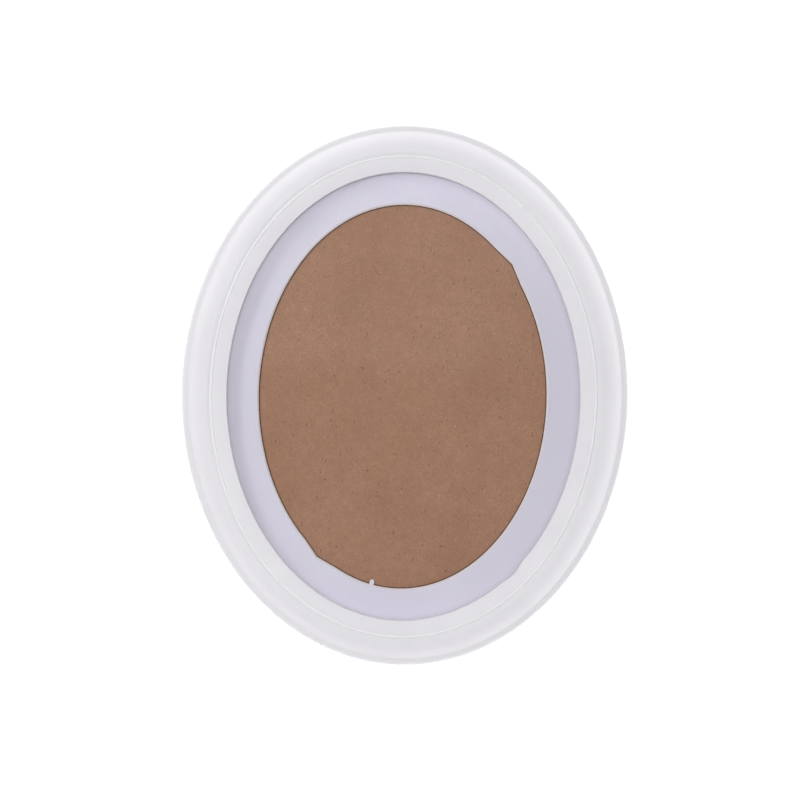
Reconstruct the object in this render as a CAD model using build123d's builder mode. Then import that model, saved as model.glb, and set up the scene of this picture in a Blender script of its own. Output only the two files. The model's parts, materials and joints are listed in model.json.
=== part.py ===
from build123d import *
from math import acos, cos, degrees, radians, sin, tan
import os

# Oval picture frame in millimetres. +Z is up, the frame faces -Y, and X runs to the right from the front.
# The origin is where the frame hangs: the middle notch of its sawtooth hanger, in the plane of the wall.

os.makedirs("parts", exist_ok=True)

# The oval as seen from the front. It is drawn with four arcs that meet in line: the top and bottom rails
# share one radius and the side rails another, and the mitres lie where the arcs meet. The angle is chosen so
# that the oval stays within 1 mm of a true ellipse.
frame_width = 240.0
frame_height = 290.0
mitre_angle = 43.4       # of the mitres from the level
hanger_drop = 14.0       # from the top of the oval down to the notch that takes the nail
wall_gap = 3.2           # from the wall to the flat back of the rails

# The moulding's section: insets run inwards from the silhouette, heights run forwards from the back
crest_height = 14.0
crest_inset = 13.5
crest_radius = 15.0
ledge_height = 9.3
ledge_round = 1.8
shoulder_inset = 4.0
shoulder_cut = 0.4
bead_inset = 16.45
bead_width = 1.1
bead_height = 0.45
quirk_width = 0.4
quirk_height = 13.55
sight_inset = 24.85
sight_height = 12.2
sight_cut = 0.6
rebate_width = 6.0
dome_steps = 5           # flats that the dome is cut in, each under 0.1 mm off the true curve
rim_steps = 2            # flats in the round of the rim

# What lies in the rebate
glazing_thickness = 2.0
mat_thickness = 1.4
print_gap = 0.3          # room for the photograph between the mat and the backing board
board_thickness = 3.0
insert_clearance = 1.0   # between the edge of an insert and the wall of the rebate

# The window in the mat, cut by hand
mat_reveal_side = 18.3   # mat that shows between the sight edge and the window, left and right
mat_reveal_end = 17.55   # the same at the top and bottom
window_shift_x = -1.5
window_shift_z = -1.05
window_tilt = -0.7
overcut_outset = 1.8     # how far the knife ran past the oval at its two stops
overcut_lead_angle = 15.0
overcut_chord_angle = 19.0
overcut_angles = (43.5, 236.0)
nib_angle = 259.0
nib_radius = 1.2
nib_reach = 1.0          # from the edge of the window to the middle of the nib's round end

# Biscuits glued into the mitres
biscuit_length = 13.0
biscuit_width = 9.0
biscuit_thickness = 3.0
biscuit_inset = 9.3
biscuit_clip = 3.0       # clipped off its corners
biscuit_depth = 2.0      # from the back of the rails to the biscuit
biscuit_clearance = 0.3

# Turn buttons and their screws. A button's turn is its angle from the middle of its rail, about the
# centre of the rail's arc.
button_places = {
    "turn_button_upper_right": ("rail_right", 25.0),
    "turn_button_lower_right": ("rail_right", -25.0),
    "turn_button_lower_left": ("rail_left", 25.0),
    "turn_button_upper_left": ("rail_left", -25.0),
}
button_pivot_inset = 13.7
button_reach = 13.5      # from the screw to the tip
button_tip_radius = 3.2
button_eye_radius = 4.8
button_thickness = 1.0
button_gap = 0.15        # between the button and the faces above and below it
button_rib_width = 2.4
button_rib_length = 6.4
button_rib_rise = 0.4
button_rib_slope = 45.0
button_bore_clearance = 0.06
screw_diameter = 3.0
screw_depth = 8.0
screw_head_diameter = 6.4
screw_head_height = 1.5
screw_slot_width = 0.8
screw_slot_depth = 0.7
pilot_clearance = 0.05

# Sawtooth hanger and its nails
hanger_length = 45.0
hanger_thickness = 0.9
hanger_tab = 7.0
hanger_ramp = 3.0
hanger_body = 6.5        # height of the plate above its notches
tooth_pitch = 2.6
tooth_depth = 2.2
tooth_flat = 0.5
tooth_count = 9
nail_diameter = 1.6
nail_depth = 7.0
nail_head_diameter = 3.6
nail_head_height = 0.8
nail_clearance = 0.1

# Wall pads, placed as the buttons are
pad_places = {"wall_pad_right": ("rail_bottom", 35.0), "wall_pad_left": ("rail_bottom", -35.0)}
pad_inset = 9.3
pad_diameter = 12.0

# Values that follow from those above
half_width = frame_width / 2
half_height = frame_height / 2
stretch = half_height - half_width
end_centre = stretch / (1 + (cos(radians(mitre_angle)) - 1) / sin(radians(mitre_angle)))
side_centre = end_centre / tan(radians(mitre_angle))
end_radius = half_height - end_centre
side_radius = half_width + side_centre
oval_level = hanger_drop - half_height
rebate_inset = sight_inset - rebate_width
rebate_depth = glazing_thickness + mat_thickness + print_gap + board_thickness
insert_inset = rebate_inset + insert_clearance
mat_back = board_thickness + print_gap
window_bevel = mat_thickness     # the knife leans at 45 degrees, so the window widens towards its face
window_width = frame_width - 2 * (sight_inset + mat_reveal_side)
window_height = frame_height - 2 * (sight_inset + mat_reveal_end)
head_seat = button_thickness + 2 * button_gap
nail_reach = (hanger_length - hanger_tab) / 2
nail_level = (hanger_body - tooth_depth) / 2

# Each rail: the centre of its arc from the oval's centre, its radius, its heading and the angle it spans
end_span = 180 - 2 * mitre_angle
side_span = 2 * mitre_angle
rails = {
    "rail_top": (0, end_centre, end_radius, 90, end_span),
    "rail_right": (-side_centre, 0, side_radius, 0, side_span),
    "rail_bottom": (0, -end_centre, end_radius, -90, end_span),
    "rail_left": (side_centre, 0, side_radius, 180, side_span),
}
corners = {
    "upper_right": ("rail_top", -end_span / 2),
    "lower_right": ("rail_bottom", end_span / 2),
    "lower_left": ("rail_bottom", -end_span / 2),
    "upper_left": ("rail_top", end_span / 2),
}


def front_plane(height):
    """The plane that faces forwards at a height above the back of the rails, centred on the oval."""
    return Plane(origin=(0, -wall_gap - height, oval_level), x_dir=(1, 0, 0), z_dir=(0, -1, 0))


def back_plane(rail, turn, inset, height):
    """A plane that faces the wall at a turn along a rail. Its X axis points to the centre of the arc."""
    centre_x, centre_z, radius, heading, span = rails[rail]
    out_x = cos(radians(heading + turn))
    out_z = sin(radians(heading + turn))
    reach = radius - inset
    origin = (centre_x + reach * out_x, height - wall_gap, oval_level + centre_z + reach * out_z)
    return Plane(origin=origin, x_dir=(-out_x, 0, -out_z), z_dir=(0, 1, 0))


def oval_outline(inset):
    """The outline of the oval that lies inset inside the silhouette, as a face."""
    corner_x = (end_radius - inset) * cos(radians(mitre_angle))
    corner_z = end_centre + (end_radius - inset) * sin(radians(mitre_angle))
    wide = half_width - inset
    high = half_height - inset
    with BuildLine() as outline:
        ThreePointArc((corner_x, corner_z), (0, high), (-corner_x, corner_z))
        ThreePointArc((-corner_x, corner_z), (-wide, 0), (-corner_x, -corner_z))
        ThreePointArc((-corner_x, -corner_z), (0, -high), (corner_x, -corner_z))
        ThreePointArc((corner_x, -corner_z), (wide, 0), (corner_x, corner_z))
    return make_face(outline.edges(), mode=Mode.PRIVATE)


def arc_points(centre_x, centre_y, radius, start, end, steps):
    """Points on an arc of a section, from one angle to another in equal steps."""
    angles = [radians(start + (end - start) * step / steps) for step in range(steps + 1)]
    return [(centre_x + radius * cos(angle), centre_y + radius * sin(angle)) for angle in angles]


def biscuit_outline(clearance):
    """Draws a biscuit in the sketch in hand, clearance larger all round."""
    outline = Rectangle(biscuit_length + 2 * clearance, biscuit_width + 2 * clearance)
    chamfer(outline.vertices(), biscuit_clip)


def save(part, name):
    """Names a finished piece and writes it."""
    part.label = name
    export_step(part, f"parts/{name}.step")


# The four rails. Each is its section turned about the centre of its own arc, from one mitre to the next.
# The section's X axis points inwards from the silhouette and its Y axis to the front.
dome_base = crest_height - crest_radius
dome_end_inset = bead_inset - bead_width / 2 - quirk_width
dome_start = degrees(acos((shoulder_inset + shoulder_cut - crest_inset) / crest_radius))
dome_end = degrees(acos((dome_end_inset - crest_inset) / crest_radius))
dome = arc_points(crest_inset, dome_base, crest_radius, dome_start, dome_end, dome_steps)
section_points = [
    (rebate_inset, 0),
    (0, 0),
    *arc_points(ledge_round, ledge_height - ledge_round, ledge_round, 180, 90, rim_steps),
    (shoulder_inset, ledge_height),
    (shoulder_inset, dome[0][1] - shoulder_cut),
    *dome,
    (bead_inset - bead_width / 2, quirk_height),
    (bead_inset, quirk_height + bead_height),
    (bead_inset + bead_width / 2, quirk_height),
    (sight_inset - sight_cut, sight_height),
    (sight_inset, sight_height - sight_cut),
    (sight_inset, rebate_depth),
    (rebate_inset, rebate_depth),
]
for name, (centre_x, centre_z, radius, heading, span) in rails.items():
    first_end = back_plane(name, -span / 2, 0, 0)
    with BuildPart() as rail:
        with BuildSketch(Plane(origin=first_end.origin, x_dir=first_end.x_dir, z_dir=first_end.y_dir)):
            with BuildLine():
                Polyline(section_points, close=True)
            make_face()
        arc_centre = (centre_x, 0, oval_level + centre_z)
        revolve(axis=Axis(arc_centre, (0, -1, 0)), revolution_arc=span)
        # Half a pocket for a biscuit at each end
        for turn in (-span / 2, span / 2):
            with BuildSketch(back_plane(name, turn, biscuit_inset, -biscuit_depth)):
                biscuit_outline(biscuit_clearance)
            extrude(amount=-biscuit_thickness, mode=Mode.SUBTRACT)
        # Pilot holes for the screws of the turn buttons
        for rail_name, turn in button_places.values():
            if rail_name == name:
                with BuildSketch(back_plane(name, turn, button_pivot_inset, 0)):
                    Circle(screw_diameter / 2 + pilot_clearance)
                extrude(amount=-screw_depth - pilot_clearance, mode=Mode.SUBTRACT)
        # Pilot holes for the nails of the hanger
        if name == "rail_top":
            with BuildSketch(Plane.XZ.offset(wall_gap)):
                with Locations((-nail_reach, nail_level), (nail_reach, nail_level)):
                    Circle(nail_diameter / 2 + pilot_clearance)
            extrude(amount=nail_depth + pilot_clearance, mode=Mode.SUBTRACT)
    save(rail.part, name)

# Biscuits
for name, (rail_name, turn) in corners.items():
    with BuildPart() as biscuit:
        with BuildSketch(back_plane(rail_name, turn, biscuit_inset, -biscuit_depth)):
            biscuit_outline(0)
        extrude(amount=-biscuit_thickness)
    save(biscuit.part, f"biscuit_{name}")

# Glazing, face to face with the lip of the rails
with BuildPart() as glazing:
    with BuildSketch(front_plane(rebate_depth)):
        add(oval_outline(insert_inset))
    extrude(amount=-glazing_thickness)
save(glazing.part, "glazing")

# Window mat: the window widens towards its face, has a pointed overcut at both stops of the knife,
# and a nib of the board left standing near the bottom


def window_outline(bevel):
    """Draws the window in the sketch in hand, bevel wider all round than it is at the back of the mat."""
    wide = window_width / 2 + bevel
    high = window_height / 2 + bevel
    Ellipse(wide, high)
    for stop in overcut_angles:
        lead = radians(stop + overcut_lead_angle)
        tip = radians(stop)
        end = radians(stop - overcut_chord_angle)
        Polygon(
            (wide * cos(lead), high * sin(lead)),
            ((wide + overcut_outset) * cos(tip), (high + overcut_outset) * sin(tip)),
            (wide * cos(end), high * sin(end)),
            align=None,
        )


window_back = Plane(
    origin=(window_shift_x, -wall_gap - mat_back, oval_level + window_shift_z),
    x_dir=(cos(radians(window_tilt)), 0, sin(radians(window_tilt))),
    z_dir=(0, -1, 0),
)
with BuildPart() as mat_board:
    with BuildSketch(front_plane(mat_back)):
        add(oval_outline(insert_inset))
    extrude(amount=mat_thickness)
    with BuildSketch(window_back):
        window_outline(0)
    with BuildSketch(window_back.offset(mat_thickness)):
        window_outline(window_bevel)
    loft(ruled=True, mode=Mode.SUBTRACT)
    with BuildSketch(window_back):
        nib_x = window_width / 2 * cos(radians(nib_angle))
        nib_z = window_height / 2 * sin(radians(nib_angle))
        with Locations((nib_x, nib_z)):
            SlotCenterToCenter(2 * nib_reach, 2 * nib_radius, rotation=nib_angle)
    extrude(amount=mat_thickness / 2)
save(mat_board.part, "mat_board")

# Backing board, flush with the back of the rails
with BuildPart() as backing_board:
    with BuildSketch(front_plane(0)):
        add(oval_outline(insert_inset))
    extrude(amount=board_thickness)
save(backing_board.part, "backing_board")

# Turn buttons: pressed steel, with an eye at the screw, a narrower tip and a pressed rib between them
rib_centre = (button_eye_radius + button_reach - button_tip_radius) / 2
for name, (rail_name, turn) in button_places.items():
    with BuildPart() as button:
        with BuildSketch(back_plane(rail_name, turn, button_pivot_inset, button_gap)):
            with BuildLine():
                CenterArc((0, 0), button_eye_radius, 0, 360)
                CenterArc((button_reach - button_tip_radius, 0), button_tip_radius, 0, 360)
            make_hull()
            Circle(screw_diameter / 2 + button_bore_clearance, mode=Mode.SUBTRACT)
        extrude(amount=button_thickness)
        with BuildSketch(back_plane(rail_name, turn, button_pivot_inset, button_gap + button_thickness)):
            with Locations((rib_centre, 0)):
                Rectangle(button_rib_length, button_rib_width)
        extrude(amount=button_rib_rise, taper=button_rib_slope)
    save(button.part, name)

# Screws of the turn buttons, with a slotted head over the button
with BuildPart() as turn_button_screws:
    for rail_name, turn in button_places.values():
        seat = back_plane(rail_name, turn, button_pivot_inset, 0)
        with BuildSketch(Plane(origin=seat.origin, x_dir=seat.x_dir, z_dir=-seat.y_dir)):
            with BuildLine():
                Polyline(
                    (0, -screw_depth),
                    (screw_diameter / 2, -screw_depth),
                    (screw_diameter / 2, head_seat),
                    (screw_head_diameter / 2, head_seat),
                    (screw_head_diameter / 2, head_seat + screw_head_height),
                    (0, head_seat + screw_head_height),
                    (0, -screw_depth),
                )
            make_face()
        revolve(axis=Axis(seat.origin, seat.z_dir))
        with BuildSketch(seat.offset(head_seat + screw_head_height)):
            Rectangle(screw_head_diameter, screw_slot_width)
        extrude(amount=-screw_slot_depth, mode=Mode.SUBTRACT)
save(turn_button_screws.part, "turn_button_screws")

# Sawtooth hanger: a steel strip with its ends on the rail and its middle raised to the wall, notched below
with BuildPart() as sawtooth_hanger:
    with BuildSketch(Plane.XY.offset(-tooth_depth)):
        end_x = hanger_length / 2
        tab_x = end_x - hanger_tab
        ramp_x = tab_x - hanger_ramp
        low = hanger_thickness - wall_gap
        Polygon(
            (-end_x, -wall_gap),
            (-tab_x, -wall_gap),
            (-ramp_x, -hanger_thickness),
            (ramp_x, -hanger_thickness),
            (tab_x, -wall_gap),
            (end_x, -wall_gap),
            (end_x, low),
            (tab_x, low),
            (ramp_x, 0),
            (-ramp_x, 0),
            (-tab_x, low),
            (-end_x, low),
            align=None,
        )
    extrude(amount=tooth_depth + hanger_body)
    with BuildSketch(Plane.XZ):
        with GridLocations(tooth_pitch, 0, tooth_count, 1):
            foot = (tooth_pitch - tooth_flat) / 2
            Polygon((0, 0), (-foot, -tooth_depth), (foot, -tooth_depth), align=None)
    extrude(amount=wall_gap, mode=Mode.SUBTRACT)
    with BuildSketch(Plane.XZ):
        with Locations((-nail_reach, nail_level), (nail_reach, nail_level)):
            Circle(nail_diameter / 2 + nail_clearance)
    extrude(amount=wall_gap, mode=Mode.SUBTRACT)
save(sawtooth_hanger.part, "sawtooth_hanger")

# Nails of the hanger
with BuildPart() as hanger_nails:
    for reach in (-nail_reach, nail_reach):
        under_head = (reach, hanger_thickness - wall_gap, nail_level)
        seat = Plane(origin=under_head, x_dir=(1, 0, 0), z_dir=(0, 0, 1))
        with BuildSketch(seat):
            with BuildLine():
                Polyline(
                    (0, -hanger_thickness - nail_depth),
                    (nail_diameter / 2, -hanger_thickness - nail_depth),
                    (nail_diameter / 2, 0),
                    (nail_head_diameter / 2, 0),
                    (nail_head_diameter / 2, nail_head_height),
                    (0, nail_head_height),
                    (0, -hanger_thickness - nail_depth),
                )
            make_face()
        revolve(axis=Axis(seat.origin, seat.y_dir))
save(hanger_nails.part, "hanger_nails")

# Wall pads: they keep the bottom of the frame as far from the wall as the hanger keeps its top
for name, (rail_name, turn) in pad_places.items():
    with BuildPart() as pad:
        with BuildSketch(back_plane(rail_name, turn, pad_inset, 0)):
            Circle(pad_diameter / 2)
        extrude(amount=wall_gap)
    save(pad.part, name)
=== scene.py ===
# %% [markdown]
# # A white oval picture frame
# The real frame is a ring of painted wood in four mitred lengths. It holds a sheet of glazing, a pale window
# mat and a brown backing board, and steel turn buttons keep them in from behind.
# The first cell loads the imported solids. They fix every size and place, and each later cell either gives one
# of them a finish or models a finer piece that stands for it.

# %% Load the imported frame
import json
import math

import bpy
from mathutils import Matrix, Vector


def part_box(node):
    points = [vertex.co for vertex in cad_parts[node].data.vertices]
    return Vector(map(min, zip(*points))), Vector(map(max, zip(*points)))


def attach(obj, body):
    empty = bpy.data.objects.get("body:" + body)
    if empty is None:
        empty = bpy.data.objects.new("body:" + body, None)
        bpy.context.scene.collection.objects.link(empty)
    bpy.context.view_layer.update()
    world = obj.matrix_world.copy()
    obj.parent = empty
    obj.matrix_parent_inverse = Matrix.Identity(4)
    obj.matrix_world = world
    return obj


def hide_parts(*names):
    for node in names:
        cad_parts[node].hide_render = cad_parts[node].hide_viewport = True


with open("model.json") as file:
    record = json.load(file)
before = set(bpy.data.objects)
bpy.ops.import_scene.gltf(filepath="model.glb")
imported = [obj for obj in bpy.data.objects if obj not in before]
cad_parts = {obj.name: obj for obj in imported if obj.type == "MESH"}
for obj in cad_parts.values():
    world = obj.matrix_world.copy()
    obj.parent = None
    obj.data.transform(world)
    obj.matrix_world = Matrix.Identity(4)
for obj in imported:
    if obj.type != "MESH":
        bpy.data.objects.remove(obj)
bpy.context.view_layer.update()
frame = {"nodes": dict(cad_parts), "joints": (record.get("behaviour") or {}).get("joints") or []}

nodes = frame["nodes"]

# %% [markdown]
# ## Sizes
# A maker works from a few sizes. They are written once here in millimetres and turned into metres, the
# scene's unit, where they are used. Insets run from the outer edge of the oval towards its middle, and
# heights run forwards from the flat back of the wood.

# %% Sizes of the moulding
MM = 0.001
half_width, half_height = 119.97, 144.97
oval_level = -131.0
wood_back = 3.2
rim_round, cove_radius, cove_tilt = 2.0, 1.6, 40.0
crest_inset, crest_height, crest_radius, inner_radius = 13.5, 13.84, 15.0, 6.0
bead_inset, bead_top, bead_radius = 16.45, 13.98, 0.65
sight_inset, sight_height, sight_round = 24.85, 12.2, 0.5
rebate_inset, rebate_depth = 18.85, 6.7
mitre_angle = 43.4
end_centre = 41.525


def depth_at(height):
    """The y of a height above the back of the wood, in metres."""
    return -(wood_back + height) * MM


def place(x, height, z):
    """A point by its x, its height above the back of the wood and its z, in metres."""
    return Vector((x * MM, depth_at(height), z * MM))


def from_middle(corner):
    """How far a corner is to the right of the oval's middle and above it, in millimetres."""
    return corner.co.x / MM, corner.co.z / MM - oval_level


# %% [markdown]
# ## Small helpers
# Operators act on whatever is selected, so each step starts with nothing selected. A finished piece has its
# place in its mesh and its object at the origin, so that it lines up with the solids.

# %% Helpers for selecting and finishing
def pick(*pieces):
    """Selects these pieces alone and makes the first one active."""
    if bpy.context.object and bpy.context.object.mode != "OBJECT":
        bpy.ops.object.mode_set(mode="OBJECT")
    bpy.ops.object.select_all(action="DESELECT")
    for piece in pieces:
        piece.select_set(True)
    if pieces:
        bpy.context.view_layer.objects.active = pieces[0]


def settle(piece, angle=30):
    """Puts a piece's place into its mesh, turns its faces outwards and smooths its round parts."""
    pick(piece)
    bpy.ops.object.transform_apply(location=True, rotation=True, scale=True)
    bpy.ops.object.mode_set(mode="EDIT")
    bpy.ops.mesh.select_all(action="SELECT")
    bpy.ops.mesh.remove_doubles(threshold=0.000001)
    bpy.ops.mesh.normals_make_consistent(inside=False)
    bpy.ops.mesh.select_all(action="DESELECT")
    bpy.ops.object.mode_set(mode="OBJECT")
    bpy.ops.object.shade_smooth_by_angle(angle=math.radians(angle))
    return piece


def use_modifier(piece, kind, **settings):
    """Adds a modifier to a piece and applies it."""
    pick(piece)
    modifier = piece.modifiers.new(kind.lower(), kind)
    for name, value in settings.items():
        setattr(modifier, name, value)
    bpy.ops.object.modifier_apply(modifier=modifier.name)


def copy_of(piece, name):
    """A copy of a piece with a mesh of its own."""
    twin = piece.copy()
    twin.data = piece.data.copy()
    twin.name = name
    bpy.context.scene.collection.objects.link(twin)
    return twin


# %% [markdown]
# ## Helpers for materials
# Each finish is a small network of nodes. The patterns read Object coordinates in metres, so a grain of
# 1 mm has a noise scale of about 1000. One helper starts a finish, and others add noise and bump.

# %% Helpers for finishes
RANGE_SOCKETS = ("From Min", "From Max", "To Min", "To Max")


class Finish:
    """One procedural material, with its shader and a coordinate to hang patterns on."""

    def __init__(self, name, colour, roughness, metallic=0.0):
        self.material = bpy.data.materials.new(name)
        self.material.use_nodes = True
        self.tree = self.material.node_tree
        self.tree.nodes.clear()
        self.output = self.tree.nodes.new("ShaderNodeOutputMaterial")
        self.shader = self.tree.nodes.new("ShaderNodeBsdfPrincipled")
        self.link(self.shader.outputs["BSDF"], self.output.inputs["Surface"])
        self.set("Base Color", (*colour, 1.0))
        self.set("Roughness", roughness)
        self.set("Metallic", metallic)
        self.place = self.tree.nodes.new("ShaderNodeTexCoord").outputs["Object"]

    def link(self, source, target):
        self.tree.links.new(source, target)

    def set(self, socket, value):
        self.shader.inputs[socket].default_value = value

    def noise(self, scale, detail=3.0, roughness=0.55, stretch=(1, 1, 1)):
        """Cloudy noise, from 0 to 1. A stretch under 1 draws the pattern out along that axis."""
        mapping = self.tree.nodes.new("ShaderNodeMapping")
        mapping.inputs["Scale"].default_value = stretch
        self.link(self.place, mapping.inputs["Vector"])
        node = self.tree.nodes.new("ShaderNodeTexNoise")
        node.inputs["Scale"].default_value = scale
        node.inputs["Detail"].default_value = detail
        node.inputs["Roughness"].default_value = roughness
        self.link(mapping.outputs["Vector"], node.inputs["Vector"])
        return node.outputs["Fac"]

    def range(self, value, low, high, to_low=0.0, to_high=1.0):
        """Turns values from low to high into values from to_low to to_high."""
        node = self.tree.nodes.new("ShaderNodeMapRange")
        for socket, number in zip(RANGE_SOCKETS, (low, high, to_low, to_high)):
            node.inputs[socket].default_value = number
        self.link(value, node.inputs["Value"])
        return node.outputs["Result"]

    def mix(self, share, first, second):
        """Mixes two colours by a share. Each of the three is a value or another node's output."""
        node = self.tree.nodes.new("ShaderNodeMix")
        node.data_type = "RGBA"
        colour_sockets = (node.inputs[6], node.inputs[7])
        for socket, value in zip((node.inputs["Factor"], *colour_sockets), (share, first, second)):
            if isinstance(value, bpy.types.NodeSocket):
                self.link(value, socket)
            else:
                socket.default_value = value if isinstance(value, float) else (*value, 1.0)
        return node.outputs[2]

    def split(self, vector):
        """The X, Y and Z of a vector."""
        node = self.tree.nodes.new("ShaderNodeSeparateXYZ")
        self.link(vector, node.inputs["Vector"])
        return node.outputs

    def math(self, operation, first, second=0.0):
        """Works out an operation on two values, each a number or another node's output."""
        node = self.tree.nodes.new("ShaderNodeMath")
        node.operation = operation
        for socket, value in ((node.inputs[0], first), (node.inputs[1], second)):
            if isinstance(value, bpy.types.NodeSocket):
                self.link(value, socket)
            else:
                socket.default_value = value
        return node.outputs[0]

    def bump(self, height, distance, strength=1.0, after=None):
        """A relief of this distance in metres. after is an earlier bump that this one is laid over."""
        node = self.tree.nodes.new("ShaderNodeBump")
        node.inputs["Distance"].default_value = distance
        node.inputs["Strength"].default_value = strength
        self.link(height, node.inputs["Height"])
        if after is not None:
            self.link(after, node.inputs["Normal"])
        self.link(node.outputs["Normal"], self.shader.inputs["Normal"])
        return node.outputs["Normal"]

    def paint(self, piece):
        """Gives the whole piece this finish."""
        piece.data.materials.clear()
        piece.data.materials.append(self.material)
        return piece


def finish_node(node_name, finish):
    """Gives a solid this finish on each of its material slots."""
    solid = nodes[node_name]
    for slot in solid.material_slots:
        slot.material = finish.material
    if not solid.material_slots:
        solid.data.materials.append(finish.material)


# %% [markdown]
# ## Camera
# The photograph looks straight at the front from some way off, with the frame turned by about half a degree.
# A long lens keeps the ring's depth from showing at the sides, and one pixel is 0.5367 mm.

# %% Camera at the photograph's place
PIXEL = 0.5367
picture_pixels, sensor_width = 800, 36.0
camera_distance, camera_roll = 2500.0, 0.45
left_of_middle, before_wall, below_middle = 2.9, 10.7, 2.85
camera_data = bpy.data.cameras.new("studio_camera")
camera = bpy.data.objects.new("studio_camera", camera_data)
bpy.context.scene.collection.objects.link(camera)
bpy.context.scene.camera = camera
camera_data.sensor_width = sensor_width
camera_data.lens = sensor_width * camera_distance / (picture_pixels * PIXEL)
camera_data.clip_end = 50.0
camera_place = Vector((-left_of_middle, -before_wall - camera_distance, oval_level - below_middle)) * MM
camera_turn = Matrix.Rotation(math.radians(90), 4, "X") @ Matrix.Rotation(math.radians(camera_roll), 4, "Z")
camera.matrix_world = Matrix.Translation(camera_place) @ camera_turn
print("camera lens:", round(camera_data.lens, 1), "mm")

# %% [markdown]
# ## Studio
# The object stands before a white backdrop with bright sides, which wrap light round its slopes, most from
# the right. From the front it is lit by a small soft box just above the camera, by a fainter one overhead
# and by a narrow strip at the left. Most of the light comes along the camera's own line, so the recessed mat
# stays bright up to the lip, but for the soft shadows that the strip and the overhead box cast on it.

# %% White backdrop all round
bpy.context.scene.view_settings.view_transform = "Standard"
world = bpy.data.worlds.new("white_studio")
bpy.context.scene.world = world
world.use_nodes = True
sky = world.node_tree
sky.nodes.clear()
sky_output = sky.nodes.new("ShaderNodeOutputWorld")
sky_light = sky.nodes.new("ShaderNodeBackground")
sky_place = sky.nodes.new("ShaderNodeTexCoord")
sky_split = sky.nodes.new("ShaderNodeSeparateXYZ")
sky.links.new(sky_place.outputs["Generated"], sky_split.inputs["Vector"])
sky.links.new(sky_light.outputs["Background"], sky_output.inputs["Surface"])


def sky_share(start, end, low, high):
    """Goes softly from low to high between two depths, from -1 in front of the frame to 1 behind it."""
    node = sky.nodes.new("ShaderNodeMapRange")
    node.interpolation_type = "SMOOTHSTEP"
    for socket, number in zip(RANGE_SOCKETS, (start, end, low, high)):
        node.inputs[socket].default_value = number
    sky.links.new(sky_split.outputs["Y"], node.inputs["Value"])
    return node.outputs["Result"]


def sky_sum(value, factor, addend):
    """Multiplies and adds, for the brightness of the backdrop. Each of the three is a number or an output."""
    node = sky.nodes.new("ShaderNodeMath")
    node.operation = "MULTIPLY_ADD"
    for socket, item in zip(node.inputs, (value, factor, addend)):
        if isinstance(item, bpy.types.NodeSocket):
            sky.links.new(item, socket)
        else:
            socket.default_value = item
    return node.outputs[0]


side_light, more_to_the_right, more_overhead = 3.85, 2.8, 0.55
straight_behind, in_front = 0.265, 0.42
backdrop = sky_sum(sky_split.outputs["X"], more_to_the_right, side_light)
backdrop = sky_sum(sky_split.outputs["Z"], more_overhead, backdrop)
backdrop = sky_sum(sky_share(0.25, 0.6, 1.0, straight_behind), backdrop, 0.0)
brightness = sky_sum(sky_share(-0.2, 0.1, 0.0, 1.0), backdrop, in_front)
sky.links.new(brightness, sky_light.inputs["Strength"])
side_brightness = [round(side_light + way * more_to_the_right, 2) for way in (-1, 1)]
print("backdrop at the left and right:", side_brightness)

# %% Soft boxes and strip
def soft_lamp(name, sideways, upwards, distance, wide, tall, watts):
    """A lamp at these angles in degrees and this distance from the frame's middle, turned towards it."""
    data = bpy.data.lights.new(name, "AREA")
    data.shape = "RECTANGLE"
    data.size, data.size_y, data.energy = wide, tall, watts
    lamp = bpy.data.objects.new(name, data)
    bpy.context.scene.collection.objects.link(lamp)
    side, up = math.radians(sideways), math.radians(upwards)
    toward = Vector((math.sin(side) * math.cos(up), -math.cos(side) * math.cos(up), math.sin(up)))
    lamp.location = Vector((0, 0, oval_level * MM)) + toward * distance
    lamp.rotation_euler = toward.to_track_quat("Z", "Y").to_euler()
    lamp.visible_camera = False
    print(name, [round(value, 2) for value in lamp.location])


soft_lamp("camera_box", -1.5, 5.5, 2.4, 0.40, 0.40, 20.0)
soft_lamp("overhead_box", 0, 30, 1.4, 0.50, 0.80, 0.6)
soft_lamp("strip_box", -49, 22, 0.9, 0.19, 0.80, 2.1)

# %% Pale floor
pick()
floor_middle = (0, 0.45, -0.60)
bpy.ops.mesh.primitive_circle_add(vertices=96, radius=0.7, fill_type="NGON", location=floor_middle)
floor = bpy.context.object
floor.name = "studio_floor"
bpy.ops.object.transform_apply(location=True, rotation=True, scale=True)
floor_finish = Finish("pale_floor", (0.86, 0.86, 0.86), 0.8)
floor_finish.bump(floor_finish.noise(900.0), 0.0001, 0.2)
floor_finish.paint(floor)
print("floor:", round(floor.dimensions.x, 2), "m across, at z", floor_middle[2])

# %% [markdown]
# ## Moulding
# The ring is turned on an oval lathe: while the blank spins, a slide carries it to and fro, so each line
# that the tool cuts is an ellipse, always 25 mm taller from middle to edge than it is wide. Here the
# section is drawn as a wire loop and spun into a round ring, and then each slice slides up or down by
# 25 mm times the sine of its angle.

# %% The section as a maker would draw it
def arc(centre_inset, centre_height, radius, start, end, steps):
    """Points of the section on an arc, from one angle to another."""
    angles = [math.radians(start + (end - start) * step / steps) for step in range(steps + 1)]
    return [(centre_inset + radius * math.cos(a), centre_height + radius * math.sin(a)) for a in angles]


dome_middle = crest_height - crest_radius
cove_end_inset = crest_inset - crest_radius * math.sin(math.radians(cove_tilt))
cove_end_height = dome_middle + crest_radius * math.cos(math.radians(cove_tilt))
cove_middle = cove_end_inset - cove_radius * math.sin(math.radians(cove_tilt))
ledge_height = cove_end_height - cove_radius * (1 - math.cos(math.radians(cove_tilt)))
back_round = 0.6
before_bead, after_bead = 0.95, 0.9
valley_height = bead_top - bead_radius * 0.66
dome_end = math.degrees(math.acos((bead_inset - before_bead - crest_inset) / inner_radius))
lip_ease = 0.2

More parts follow.
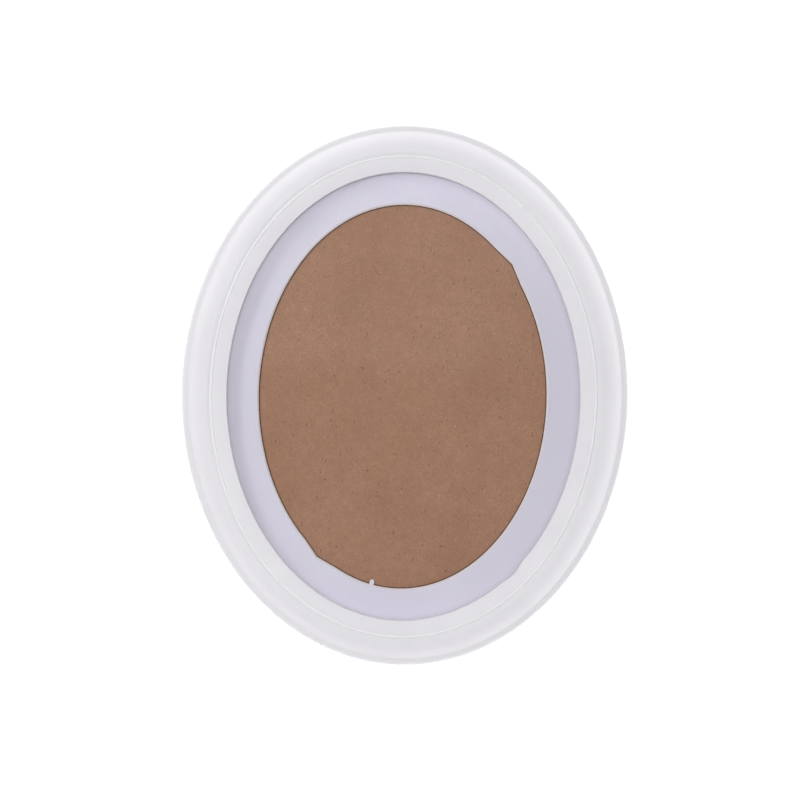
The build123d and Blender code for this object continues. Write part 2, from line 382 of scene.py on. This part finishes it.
section = [(rebate_inset, 0.0), (back_round, 0.0)]
section += arc(back_round, back_round, back_round, 270, 180, 4)
section += arc(rim_round, ledge_height - rim_round, rim_round, 180, 90, 10)
section += arc(cove_middle, ledge_height + cove_radius, cove_radius, 270, 270 + cove_tilt, 6)
section += arc(crest_inset, dome_middle, crest_radius, 90 + cove_tilt, 90, 20)[1:]
section += arc(crest_inset, crest_height - inner_radius, inner_radius, 90, dome_end, 5)[1:]
section += arc(bead_inset, bead_top - bead_radius, bead_radius, 165, 15, 10)
section += [(bead_inset + after_bead, valley_height - 0.06)]
section += arc(sight_inset - sight_round, sight_height - sight_round, sight_round, 80, 0, 7)
section += [(sight_inset, rebate_depth + lip_ease), (sight_inset - lip_ease, rebate_depth)]
section += [(rebate_inset, rebate_depth)]
print("points in the section:", len(section), "ledge at", round(ledge_height, 2))

# %% Spin the section and slide its slices
pick()
bpy.ops.mesh.primitive_circle_add(vertices=len(section), radius=0.01, fill_type="NOTHING")
ring = bpy.context.object
ring.name = "turned_ring"
for corner, (inset, height) in zip(ring.data.vertices, section):
    corner.co = place(half_width - inset, height, oval_level)
bpy.ops.object.mode_set(mode="EDIT")
bpy.ops.mesh.select_all(action="SELECT")
bpy.ops.mesh.spin(steps=360, angle=2 * math.pi, center=place(0, 0, oval_level), axis=(0, 1, 0))
bpy.ops.mesh.select_all(action="SELECT")
bpy.ops.mesh.remove_doubles(threshold=0.000002)
bpy.ops.object.mode_set(mode="OBJECT")

slide = half_height - half_width
for corner in ring.data.vertices:
    x, z = from_middle(corner)
    radius = math.hypot(x, z)
    corner.co.z += slide * (z / radius) * MM
print("ring:", len(ring.data.vertices), "corners")

# %% [markdown]
# The front of the real ring was cut a little off centre: its inner lines sit 1 mm to the left of the outer
# edge and 0.9 mm below it, and they are a little narrower and taller than the lathe's rule would make them.
# A corner's inset and angle are found first, and each corner is then moved by a share that grows inwards.

# %% Off-centre turning
def turned_place(corner):
    """The angle and the inset, in millimetres, at which the lathe cut this corner, found in a few rounds."""
    x, z = from_middle(corner)
    inset = 12.0  # a first guess
    for step in range(6):
        angle = math.atan2(z / (half_height - inset), x / (half_width - inset))
        if abs(math.cos(angle)) > 0.7:
            inset = half_width - x / math.cos(angle)
        else:
            inset = half_height - z / math.sin(angle)
    return angle, inset


def smooth_share(value, start, end):
    """Grows softly from 0 at start to 1 at end."""
    share = min(max((value - start) / (end - start), 0.0), 1.0)
    return share * share * (3 - 2 * share)


shift_x, shift_z = -1.05, -0.9
squeeze_x, stretch_z = 0.3, 0.1
shift_start, shift_end = 1.8, 9.8
shifted = 0
for corner in ring.data.vertices:
    height = -corner.co.y / MM - wood_back
    angle, inset = turned_place(corner)
    on_the_front = height > rebate_depth + 0.1
    if on_the_front or inset > rebate_inset + 1:
        share = smooth_share(inset, shift_start, shift_end)
        corner.co.x += (shift_x - squeeze_x * math.cos(angle)) * share * MM
        corner.co.z += (shift_z + stretch_z * math.sin(angle)) * share * MM
        shifted += 1
print("corners of the front:", shifted)

# %% [markdown]
# ## Four rails
# The ring is sawn into four rails where its arcs meet. Each rail is a copy that two cuts trim at the
# mitres, and each cut is closed with a flat face.

# %% Saw the ring at its mitres
def trim(piece, corner_x, corner_z, keep):
    """Cuts a piece at the mitre of one corner and keeps the side that the direction keep points to."""
    mitre = math.radians(mitre_angle)
    along = Vector((corner_x * math.cos(mitre), 0, corner_z * math.sin(mitre)))
    normal = Vector((-along.z, 0, along.x))
    if normal.dot(Vector(keep)) > 0:
        normal = -normal
    pick(piece)
    bpy.ops.object.mode_set(mode="EDIT")
    bpy.ops.mesh.select_all(action="SELECT")
    bpy.ops.mesh.bisect(plane_co=place(0, 0, oval_level + corner_z * end_centre), plane_no=normal,
                        use_fill=True, clear_outer=True, threshold=0.0000001)
    bpy.ops.object.mode_set(mode="OBJECT")


rail_cuts = {
    "rail_top": (((1, 1), (0, 0, 1)), ((-1, 1), (0, 0, 1))),
    "rail_right": (((1, 1), (1, 0, 0)), ((1, -1), (1, 0, 0))),
    "rail_bottom": (((1, -1), (0, 0, -1)), ((-1, -1), (0, 0, -1))),
    "rail_left": (((-1, 1), (-1, 0, 0)), ((-1, -1), (-1, 0, 0))),
}
rails = {}
for name, cuts in rail_cuts.items():
    rail = copy_of(ring, name + "_turned")
    for (corner_x, corner_z), keep in cuts:
        trim(rail, corner_x, corner_z, keep)
    rails[name] = rail
bpy.data.objects.remove(ring)

# %% [markdown]
# Two small faults of the real frame show that it is joined from lengths. At the upper right joint the bead
# of one rail meets the next half a millimetre out of line. At the lower right joint the lip was cleaned up
# with a file, which left a shallow dent of 1 mm in its edge.

# %% Bead out of line and filed lip
def push(corner, angle, distance):
    """Moves a corner away from the oval's middle, along this angle, by a distance in millimetres."""
    corner.co.x += distance * math.cos(angle) * MM
    corner.co.z += distance * math.sin(angle) * MM


step_at, step_reach = 59.4, 5.0
for name, outward in (("rail_top", 0.3), ("rail_right", -0.3)):
    for corner in rails[name].data.vertices:
        angle, inset = turned_place(corner)
        x, z = from_middle(corner)
        away = abs(math.degrees(math.atan2(z, x)) - step_at)
        near_bead = 1 - smooth_share(abs(inset - bead_inset), after_bead, 2 * after_bead)
        push(corner, angle, outward * ((1 - smooth_share(away, 0.0, step_reach)) * near_bead))

dent_curve = ((-70.0, 0.0), (-65.5, 0.3), (-62.8, 0.2), (-60.0, 1.0),
              (-58.2, 1.15), (-54.5, -0.2), (-50.0, 0.0))
for name in ("rail_bottom", "rail_right"):
    for corner in rails[name].data.vertices:
        angle, inset = turned_place(corner)
        x, z = from_middle(corner)
        polar = math.degrees(math.atan2(z, x))
        for (start, depth), (end, next_depth) in zip(dent_curve, dent_curve[1:]):
            if start <= polar < end:
                dent = depth + (next_depth - depth) * (polar - start) / (end - start)
                push(corner, angle, dent * smooth_share(inset, sight_inset - 3.0, sight_inset - 0.8))
for rail in rails.values():
    settle(rail, 25)
    print(rail.name, len(rail.data.polygons), "faces")

# %% [markdown]
# ## White paint
# The wood has a few coats of white semi-gloss paint. It isn't one flat colour: it is a touch cooler in
# broad patches, its gloss wanders, and brush and grain leave a very fine relief. Light and shade are painted
# in as well: a painted highlight along the top of the bead, painted light on the wall of the lip, and painted
# shade on the low parts, the ledge among them. The back of the wood and the walls of the rebate are bare,
# with the grain drawn out along the rail.

# %% Paint with a bare back
well_inside = 10


def painted_wood(name, grain_stretch):
    """White paint in front and at the sides, and bare wood with this grain on the back."""
    paint = Finish(name, (0.80, 0.785, 0.82), 0.5)
    speck = paint.noise(1500.0, 2.0)
    patches = paint.range(paint.noise(28.0, 3.0), 0.35, 0.65)
    white = paint.mix(patches, (0.815, 0.800, 0.835), (0.79, 0.775, 0.815))
    spot = paint.split(paint.place)
    depth = spot["Y"]
    # Painted shade: every part lower than 10.2 mm, the ledge and the outer side of the rim among them, is
    # painted a little darker.
    ledge = paint.range(depth, depth_at(10.6), depth_at(10.2))
    white = paint.mix(ledge, white, (0.785, 0.770, 0.800))
    # Painted highlight: the top of the bead is painted brighter, as where the light catches the ridge.
    bead_highlight = paint.range(depth, depth_at(bead_top - 0.12), depth_at(bead_top - 0.07))
    white = paint.mix(bead_highlight, white, (0.895, 0.885, 0.910))
    across = paint.math("DIVIDE", spot["X"], (half_width - well_inside) * MM)
    upwards = paint.math("SUBTRACT", spot["Z"], oval_level * MM)
    upwards = paint.math("DIVIDE", upwards, (half_height - well_inside) * MM)
    reach = paint.math("ADD", paint.math("POWER", across, 2.0), paint.math("POWER", upwards, 2.0))
    inside = paint.range(reach, 0.99, 1.0, 1.0, 0.0)
    # Painted light: inside the ring, the wall of the lip and everything lower than 11 mm is painted brighter
    # than the rest.
    lip_wall_light = paint.math("MULTIPLY", inside, paint.range(depth, depth_at(11.8), depth_at(11.0)))
    white = paint.mix(lip_wall_light, white, (0.94, 0.93, 0.96))
    grain = paint.range(paint.noise(240.0, 5.0, 0.62, grain_stretch), 0.36, 0.64)
    bare = paint.mix(grain, (0.50, 0.35, 0.21), (0.36, 0.235, 0.13))
    fine_stretch = tuple(0.5 * share if share < 1 else share for share in grain_stretch)
    fibres = paint.range(paint.noise(1300.0, 3.0, 0.6, fine_stretch), 0.45, 0.70, 0.0, 0.6)
    bare = paint.mix(fibres, bare, (0.29, 0.18, 0.095))
    ragged = paint.math("ADD", depth, paint.math("MULTIPLY", speck, 0.0004))
    behind_lip = paint.range(ragged, depth_at(rebate_depth), depth_at(rebate_depth - 0.3))
    in_rebate = paint.math("MULTIPLY", inside, behind_lip)
    bare_share = paint.math("MAXIMUM", in_rebate, paint.range(ragged, depth_at(0.2), depth_at(-0.1)))
    paint.link(paint.mix(bare_share, white, bare), paint.shader.inputs["Base Color"])
    paint.link(paint.range(paint.noise(90.0, 3.0), 0.3, 0.7, 0.42, 0.56), paint.shader.inputs["Roughness"])
    paint.set("Specular IOR Level", 0.3)
    relief = paint.bump(paint.noise(420.0, 3.0), 0.00012, 0.25)
    relief = paint.bump(paint.math("MULTIPLY", grain, bare_share), 0.00010, 0.5, relief)
    paint.bump(speck, 0.00003, 0.3, relief)
    return paint


level_paint = painted_wood("white_paint_on_level_rail", (0.10, 1.0, 1.0))
upright_paint = painted_wood("white_paint_on_upright_rail", (1.0, 1.0, 0.10))
for name, rail in rails.items():
    (level_paint if name in ("rail_top", "rail_bottom") else upright_paint).paint(rail)
    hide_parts(name)
    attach(rail, "frame")
print("painted:", list(rails))

# %% [markdown]
# ## Window mat
# The mat is a sheet of lavender-white card. Its window is cut by hand with a knife that leans, so a bevel
# shows the card's warm white core, and below it, against the board, a near-black band of painted shadow.
# The knife ran a little past the oval at both stops. The solid has those cuts already, so it stays and gets
# its finish: a soft fibre relief on the face, and on the bevel, found by the tilt of its faces, the pale core
# and the painted shadow. Light and shade are painted on the face as well: it is a little paler towards its
# top and bottom, and darker at the sides, most at the right.

# %% Card for the mat
band_half_width, band_half_height = 87, 112
shade_at_sides, shade_at_right = 0.394, 0.181
palest, deepest = -0.447, 0.553
card = Finish("lavender_mat_card", (0.66, 0.635, 0.745), 0.85)
fibre = card.noise(700.0, 4.0, 0.6)
cloud = card.noise(35.0, 3.0)
spot = card.split(card.place)
sideways = card.math("DIVIDE", spot["X"], band_half_width * MM)
upwards = card.math("DIVIDE", card.math("SUBTRACT", spot["Z"], oval_level * MM), band_half_height * MM)
to_sides, to_ends = (card.math("POWER", card.math("ABSOLUTE", way), 2.0) for way in (sideways, upwards))
# Painted light and shade on the face: paler towards the top and bottom, darker at the sides, most at the
# right.
mat_light_and_shade = card.math("MULTIPLY", card.math("SUBTRACT", to_sides, to_ends), shade_at_sides)
mat_light_and_shade = card.math("ADD", mat_light_and_shade, card.math("MULTIPLY", sideways, shade_at_right))
face = card.mix(card.range(mat_light_and_shade, palest, deepest), (0.815, 0.784, 0.914), (0.695, 0.668, 0.778))
face = card.mix(card.range(cloud, 0.35, 0.65, 0.0, 0.12), face, (0.60, 0.57, 0.69))
face = card.mix(card.range(fibre, 0.3, 0.7, 0.0, 0.25), face, (0.67, 0.642, 0.765))
card_normal = card.tree.nodes.new("ShaderNodeNewGeometry")
facing = card.math("ABSOLUTE", card.split(card_normal.outputs["True Normal"])["Y"])
bevel_share = card.range(facing, 0.98, 0.9)
ragged = card.math("ADD", spot["Y"], card.math("MULTIPLY", card.noise(800.0, 2.0), 0.0002))
# Painted shadow: the lower part of the bevel, next to the board, is painted near-black as the shade under the
# card's edge. The upper part is the card's pale core.
shadow_line_height = 3.73
shadow_line_share = card.range(ragged, depth_at(shadow_line_height + 0.05), depth_at(shadow_line_height - 0.05))
core_and_shadow_line = card.mix(shadow_line_share, (0.80, 0.72, 0.72), (0.07, 0.045, 0.035))
card.link(card.mix(bevel_share, face, core_and_shadow_line), card.shader.inputs["Base Color"])
card.bump(fibre, 0.00006, 0.5)
finish_node("mat_board", card)
print("mat:", len(nodes["mat_board"].data.polygons), "faces, in", card.material.name)

# %% [markdown]
# ## Backing board
# The board is brown hardboard: pressed wood fibre with soft clouds of lighter and darker brown, a fine
# mottle, and scattered specks, dark ones of bark and a few pale ones of bare fibre. Its back carries the
# print of the wire screen that it was pressed on.

# %% Hardboard
board = Finish("brown_hardboard", (0.40, 0.24, 0.16), 0.75)
clouds = board.noise(22.0, 4.0, 0.6)
mottle = board.noise(260.0, 4.0, 0.65)
brown = board.mix(board.range(clouds, 0.3, 0.7), (0.460, 0.249, 0.151), (0.402, 0.216, 0.132))
ruddy = board.range(board.noise(75.0, 2.0), 0.45, 0.65, 0.0, 0.5)
brown = board.mix(ruddy, brown, (0.440, 0.221, 0.144))
brown = board.mix(board.range(mottle, 0.35, 0.65, 0.0, 0.40), brown, (0.310, 0.163, 0.099))
fine_mottle = board.noise(1100.0, 2.0, 0.6, (1.0, 1.0, 0.7))
brown = board.mix(board.range(fine_mottle, 0.35, 0.65, 0.0, 0.40), brown, (0.270, 0.140, 0.086))
dark_specks = board.range(board.noise(720.0, 2.0, 0.5, (1.0, 1.0, 0.6)), 0.67, 0.74, 0.0, 0.65)
brown = board.mix(dark_specks, brown, (0.15, 0.072, 0.050))
pale_specks = board.range(board.noise(640.0, 1.0, 0.5, (0.6, 1.0, 1.0)), 0.74, 0.80, 0.0, 0.6)
brown = board.mix(pale_specks, brown, (0.66, 0.46, 0.36))
spot = board.split(board.place)
back_share = board.range(spot["Y"], depth_at(0.2), depth_at(0.1))
brown = board.mix(board.math("MULTIPLY", back_share, 0.6), brown, (0.13, 0.070, 0.042))
board.link(brown, board.shader.inputs["Base Color"])
board.link(board.range(clouds, 0.3, 0.7, 0.68, 0.82), board.shader.inputs["Roughness"])
relief = board.bump(mottle, 0.00012, 0.5)
wires = 2 * math.pi / (1.6 * MM)
rows, columns = (board.math("SINE", board.math("MULTIPLY", spot[axis], wires)) for axis in "XZ")
screen = board.math("MULTIPLY", board.math("ADD", rows, columns), back_share)
board.bump(screen, 0.00004, 0.8, relief)
finish_node("backing_board", board)
print("board:", len(nodes["backing_board"].data.polygons), "faces, in", board.material.name)

# %% [markdown]
# ## Glazing
# The pane is clear sheet, cut to the oval of the rebate. It shows only as a faint gloss, so it is nearly
# see-through. Its solid touches the mat face to face, which makes two faces in one place, so a new pane
# stands for it, 0.05 mm clear of the mat and of the lip. It is a disc stretched to the oval, given its
# thickness by an extrude and eased round its edges.

# %% Cut the pane
pane_low, pane_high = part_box("glazing")
pane_gap = 0.05 * MM
pick()
upright_turn = (math.radians(90), 0, 0)
bpy.ops.mesh.primitive_circle_add(vertices=192, radius=0.5, fill_type="NGON", rotation=upright_turn)
glass = bpy.context.object
glass.name = "glazing_pane"
glass.location = (pane_low + pane_high) / 2
glass.location.y = pane_low.y + pane_gap
glass.scale = (pane_high.x - pane_low.x, pane_high.z - pane_low.z, 1)
bpy.ops.object.transform_apply(location=True, rotation=True, scale=True)
bpy.ops.object.mode_set(mode="EDIT")
bpy.ops.mesh.select_all(action="SELECT")
thickness = pane_high.y - pane_low.y - 2 * pane_gap
bpy.ops.mesh.extrude_region_move(TRANSFORM_OT_translate={"value": (0, thickness, 0)})
bpy.ops.object.mode_set(mode="OBJECT")
use_modifier(glass, "BEVEL", width=0.2 * MM, segments=2, limit_method="ANGLE",
             angle_limit=math.radians(50))
settle(glass, 20)
print("pane thickness:", round(thickness / MM, 2), "mm")

# %% Clear pane
pane = Finish("clear_pane", (0.02, 0.025, 0.025), 0.04)
pane.set("Alpha", 0.02)
pane.set("IOR", 1.49)
pane.set("Specular IOR Level", 0.1)
pane.bump(pane.noise(12.0, 1.0), 0.00004, 0.1)
pane.material.surface_render_method = "BLENDED"
pane.paint(glass)
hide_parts("glazing")
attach(glass, "frame")
print(glass.name, len(glass.data.polygons), "faces, in", pane.material.name)

# %% [markdown]
# ## Finishes of the hidden pieces
# What lies on the back is plain workshop hardware in zinc-plated steel, with grey felt pads. The biscuits in
# the mitres are pressed beech.

# %% Steel, felt and beech
def steel(name, colour, roughness, drawn):
    """Zinc-plated steel, with fine scratches drawn out along one axis."""
    finish = Finish(name, colour, roughness, 1.0)
    scratches = finish.noise(900.0, 3.0, 0.6, drawn)
    dull = finish.range(finish.noise(120.0, 3.0), 0.35, 0.65)
    darker = tuple(0.78 * share for share in colour)
    finish.link(finish.mix(dull, colour, darker), finish.shader.inputs["Base Color"])
    wear = finish.range(scratches, 0.3, 0.7, roughness - 0.08, roughness + 0.12)
    finish.link(wear, finish.shader.inputs["Roughness"])
    finish.bump(scratches, 0.00002, 0.4)
    return finish


button_steel = steel("button_steel", (0.42, 0.42, 0.41), 0.34, (1.0, 1.0, 0.3))
screw_steel = steel("screw_steel", (0.48, 0.465, 0.42), 0.30, (1.0, 0.4, 1.0))
strip_steel = steel("strip_steel", (0.40, 0.40, 0.40), 0.32, (0.1, 1.0, 1.0))
felt = Finish("grey_felt", (0.12, 0.12, 0.12), 0.95)
fuzz = felt.noise(1800.0, 4.0, 0.7)
felt_shade = felt.mix(felt.range(fuzz, 0.3, 0.7), (0.09, 0.09, 0.09), (0.17, 0.165, 0.16))
felt.link(felt_shade, felt.shader.inputs["Base Color"])
felt.bump(fuzz, 0.0003, 0.8)
beech = Finish("pressed_beech", (0.60, 0.42, 0.27), 0.7)
beech_grain = beech.noise(350.0, 3.0, 0.6, (1.0, 1.0, 0.2))
beech_shade = beech.mix(beech.range(beech_grain, 0.3, 0.7), (0.62, 0.44, 0.29), (0.50, 0.33, 0.20))
beech.link(beech_shade, beech.shader.inputs["Base Color"])
beech.bump(beech_grain, 0.00008, 0.5)
hidden_finishes = (button_steel, screw_steel, strip_steel, felt, beech)
print("finishes of the back:", [finish.material.name for finish in hidden_finishes])

# %% [markdown]
# ## Buttons, hanger, pads and biscuits
# A press leaves steel with rounded edges, felt is soft at its rim, and a biscuit is eased so that it slides
# into its pocket. The solids of these pieces have the right outline but sharp edges. So each is copied, the
# copy's loose triangles are merged and its flats made whole, and a small bevel then rounds its edges.

# %% Copies with eased edges
def eased_copy(name, width, segments):
    """A copy of a solid with its triangles merged, its flats made whole and its edges rounded."""
    twin = bpy.data.objects.new(name + "_eased", nodes[name].data.copy())
    bpy.context.scene.collection.objects.link(twin)
    pick(twin)
    bpy.ops.mesh.customdata_custom_splitnormals_clear()
    bpy.ops.object.mode_set(mode="EDIT")
    bpy.ops.mesh.select_all(action="SELECT")
    bpy.ops.mesh.remove_doubles(threshold=0.000001)
    bpy.ops.mesh.dissolve_limited(angle_limit=math.radians(1))
    bpy.ops.object.mode_set(mode="OBJECT")
    use_modifier(twin, "BEVEL", width=width * MM, segments=segments, limit_method="ANGLE",
                 angle_limit=math.radians(30))
    settle(twin, 35)
    use_modifier(twin, "WEIGHTED_NORMAL", keep_sharp=True)
    return twin


eased_pieces = (
    ("turn_button_", 0.16, 2, button_steel, "button_steel"),
    ("sawtooth_hanger", 0.12, 2, strip_steel, "hanger_steel"),
    ("wall_pad_", 0.9, 4, felt, "pad_felt"),
    ("biscuit_", 0.3, 2, beech, "biscuit_wood"),
)
for start, width, segments, finish, slot in eased_pieces:
    for name in nodes:
        if name.startswith(start) and name != "turn_button_screws":
            piece = eased_copy(name, width, segments)
            finish.paint(piece)
            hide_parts(name)
            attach(piece, name if start == "turn_button_" else "frame")
            print(piece.name, len(piece.data.polygons), "faces")

# %% [markdown]
# ## Screws and nails
# Both are round, so each is turned: its outline from point to head is spun about its own axis. The screw's
# outline has the crests of its thread, and a thin block cuts the slot across its domed head. One screw and
# one nail are made, and copies of them go to their places.

# %% Turn a piece from its outline
def turned_piece(name, outline):
    """Spins an outline of (radius, height) points, from point to head, about the y axis."""
    pick()
    bpy.ops.mesh.primitive_circle_add(vertices=len(outline), radius=0.01, fill_type="NOTHING")
    piece = bpy.context.object
    piece.name = name
    for corner, (radius, height) in zip(piece.data.vertices, outline):
        corner.co = (radius * MM, height * MM, 0)
    bpy.ops.object.mode_set(mode="EDIT")
    bpy.ops.mesh.select_mode(type="EDGE")
    bpy.ops.mesh.select_all(action="DESELECT")
    bpy.ops.object.mode_set(mode="OBJECT")
    for edge in piece.data.edges:
        edge.select = set(edge.vertices) == {0, len(outline) - 1}
    bpy.ops.object.mode_set(mode="EDIT")
    bpy.ops.mesh.delete(type="EDGE")
    bpy.ops.mesh.select_mode(type="VERT")
    bpy.ops.mesh.select_all(action="SELECT")
    bpy.ops.mesh.spin(steps=40, angle=2 * math.pi, center=(0, 0, 0), axis=(0, 1, 0))
    bpy.ops.mesh.select_all(action="SELECT")
    bpy.ops.mesh.remove_doubles(threshold=0.000001)
    bpy.ops.mesh.normals_make_consistent(inside=False)
    bpy.ops.object.mode_set(mode="OBJECT")
    return piece


# %% One screw and one nail
thread_root, thread_crest, thread_start, half_pitch = 1.1, 1.45, -6.6, 0.5
thread = [(thread_root if step % 2 else thread_crest, thread_start + half_pitch * step)
          for step in range(13)]
screw_neck = [(thread_crest, 0.3), (thread_crest, 1.3)]
screw_head = [(3.1, 1.3), (3.2, 1.4), (3.2, 1.85), (3.1, 2.1), (2.75, 2.4), (2.2, 2.62), (1.4, 2.75),
              (0.7, 2.79), (0.0, 2.8)]
screw = turned_piece("screw", [(0.0, -8.0), (0.5, -7.3)] + thread + screw_neck + screw_head)
slot_middle = (0, 2.6 * MM, 0)
slot_size = (8 * MM, 1.0 * MM, 0.8 * MM)
pick()
bpy.ops.mesh.primitive_cube_add(size=1, location=slot_middle, scale=slot_size)
slot_block = bpy.context.object
use_modifier(screw, "BOOLEAN", operation="DIFFERENCE", object=slot_block, solver="EXACT")
bpy.data.objects.remove(slot_block)

nail_shank = [(0.0, -7.9), (0.4, -7.2), (0.8, -6.4), (0.8, 0.0)]
nail_head = [(1.7, 0.0), (1.8, 0.1), (1.8, 0.25), (1.65, 0.48), (1.3, 0.66), (0.8, 0.77), (0.0, 0.8)]
nail = turned_piece("nail", nail_shank + nail_head)
print("screw:", len(screw.data.polygons), "faces, nail:", len(nail.data.polygons), "faces")

# %% [markdown]
# The joints of the turn buttons give the places of the screws. Each slot points along its button, 25 degrees
# off the level. The nails go through the ends of the hanger.

# %% Copies at their places
slot_angle = math.radians(25)
nail_reach, nail_seat, nail_level = 19.0, -2.3, 2.15
screws, nails = [], []
for joint in frame["joints"]:
    x, y, z = joint["pos_m"]
    twin = copy_of(screw, "screw_of_" + joint["child"])
    twin.location = (x, y, z)
    twin.rotation_euler.y = -math.copysign(slot_angle, x * (z - oval_level * MM))
    screws.append(settle(twin))
for side in (-nail_reach, nail_reach):
    twin = copy_of(nail, "nail")
    twin.location = Vector((side, nail_seat, nail_level)) * MM
    nails.append(settle(twin))
for start, copies, node_name in ((screw, screws, "turn_button_screws"), (nail, nails, "hanger_nails")):
    bpy.data.objects.remove(start)
    pick(*copies)
    bpy.ops.object.join()
    copies[0].name = node_name + "_turned"
    screw_steel.paint(copies[0])
    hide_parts(node_name)
    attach(copies[0], "frame")
    print(copies[0].name, len(copies[0].data.polygons), "faces")
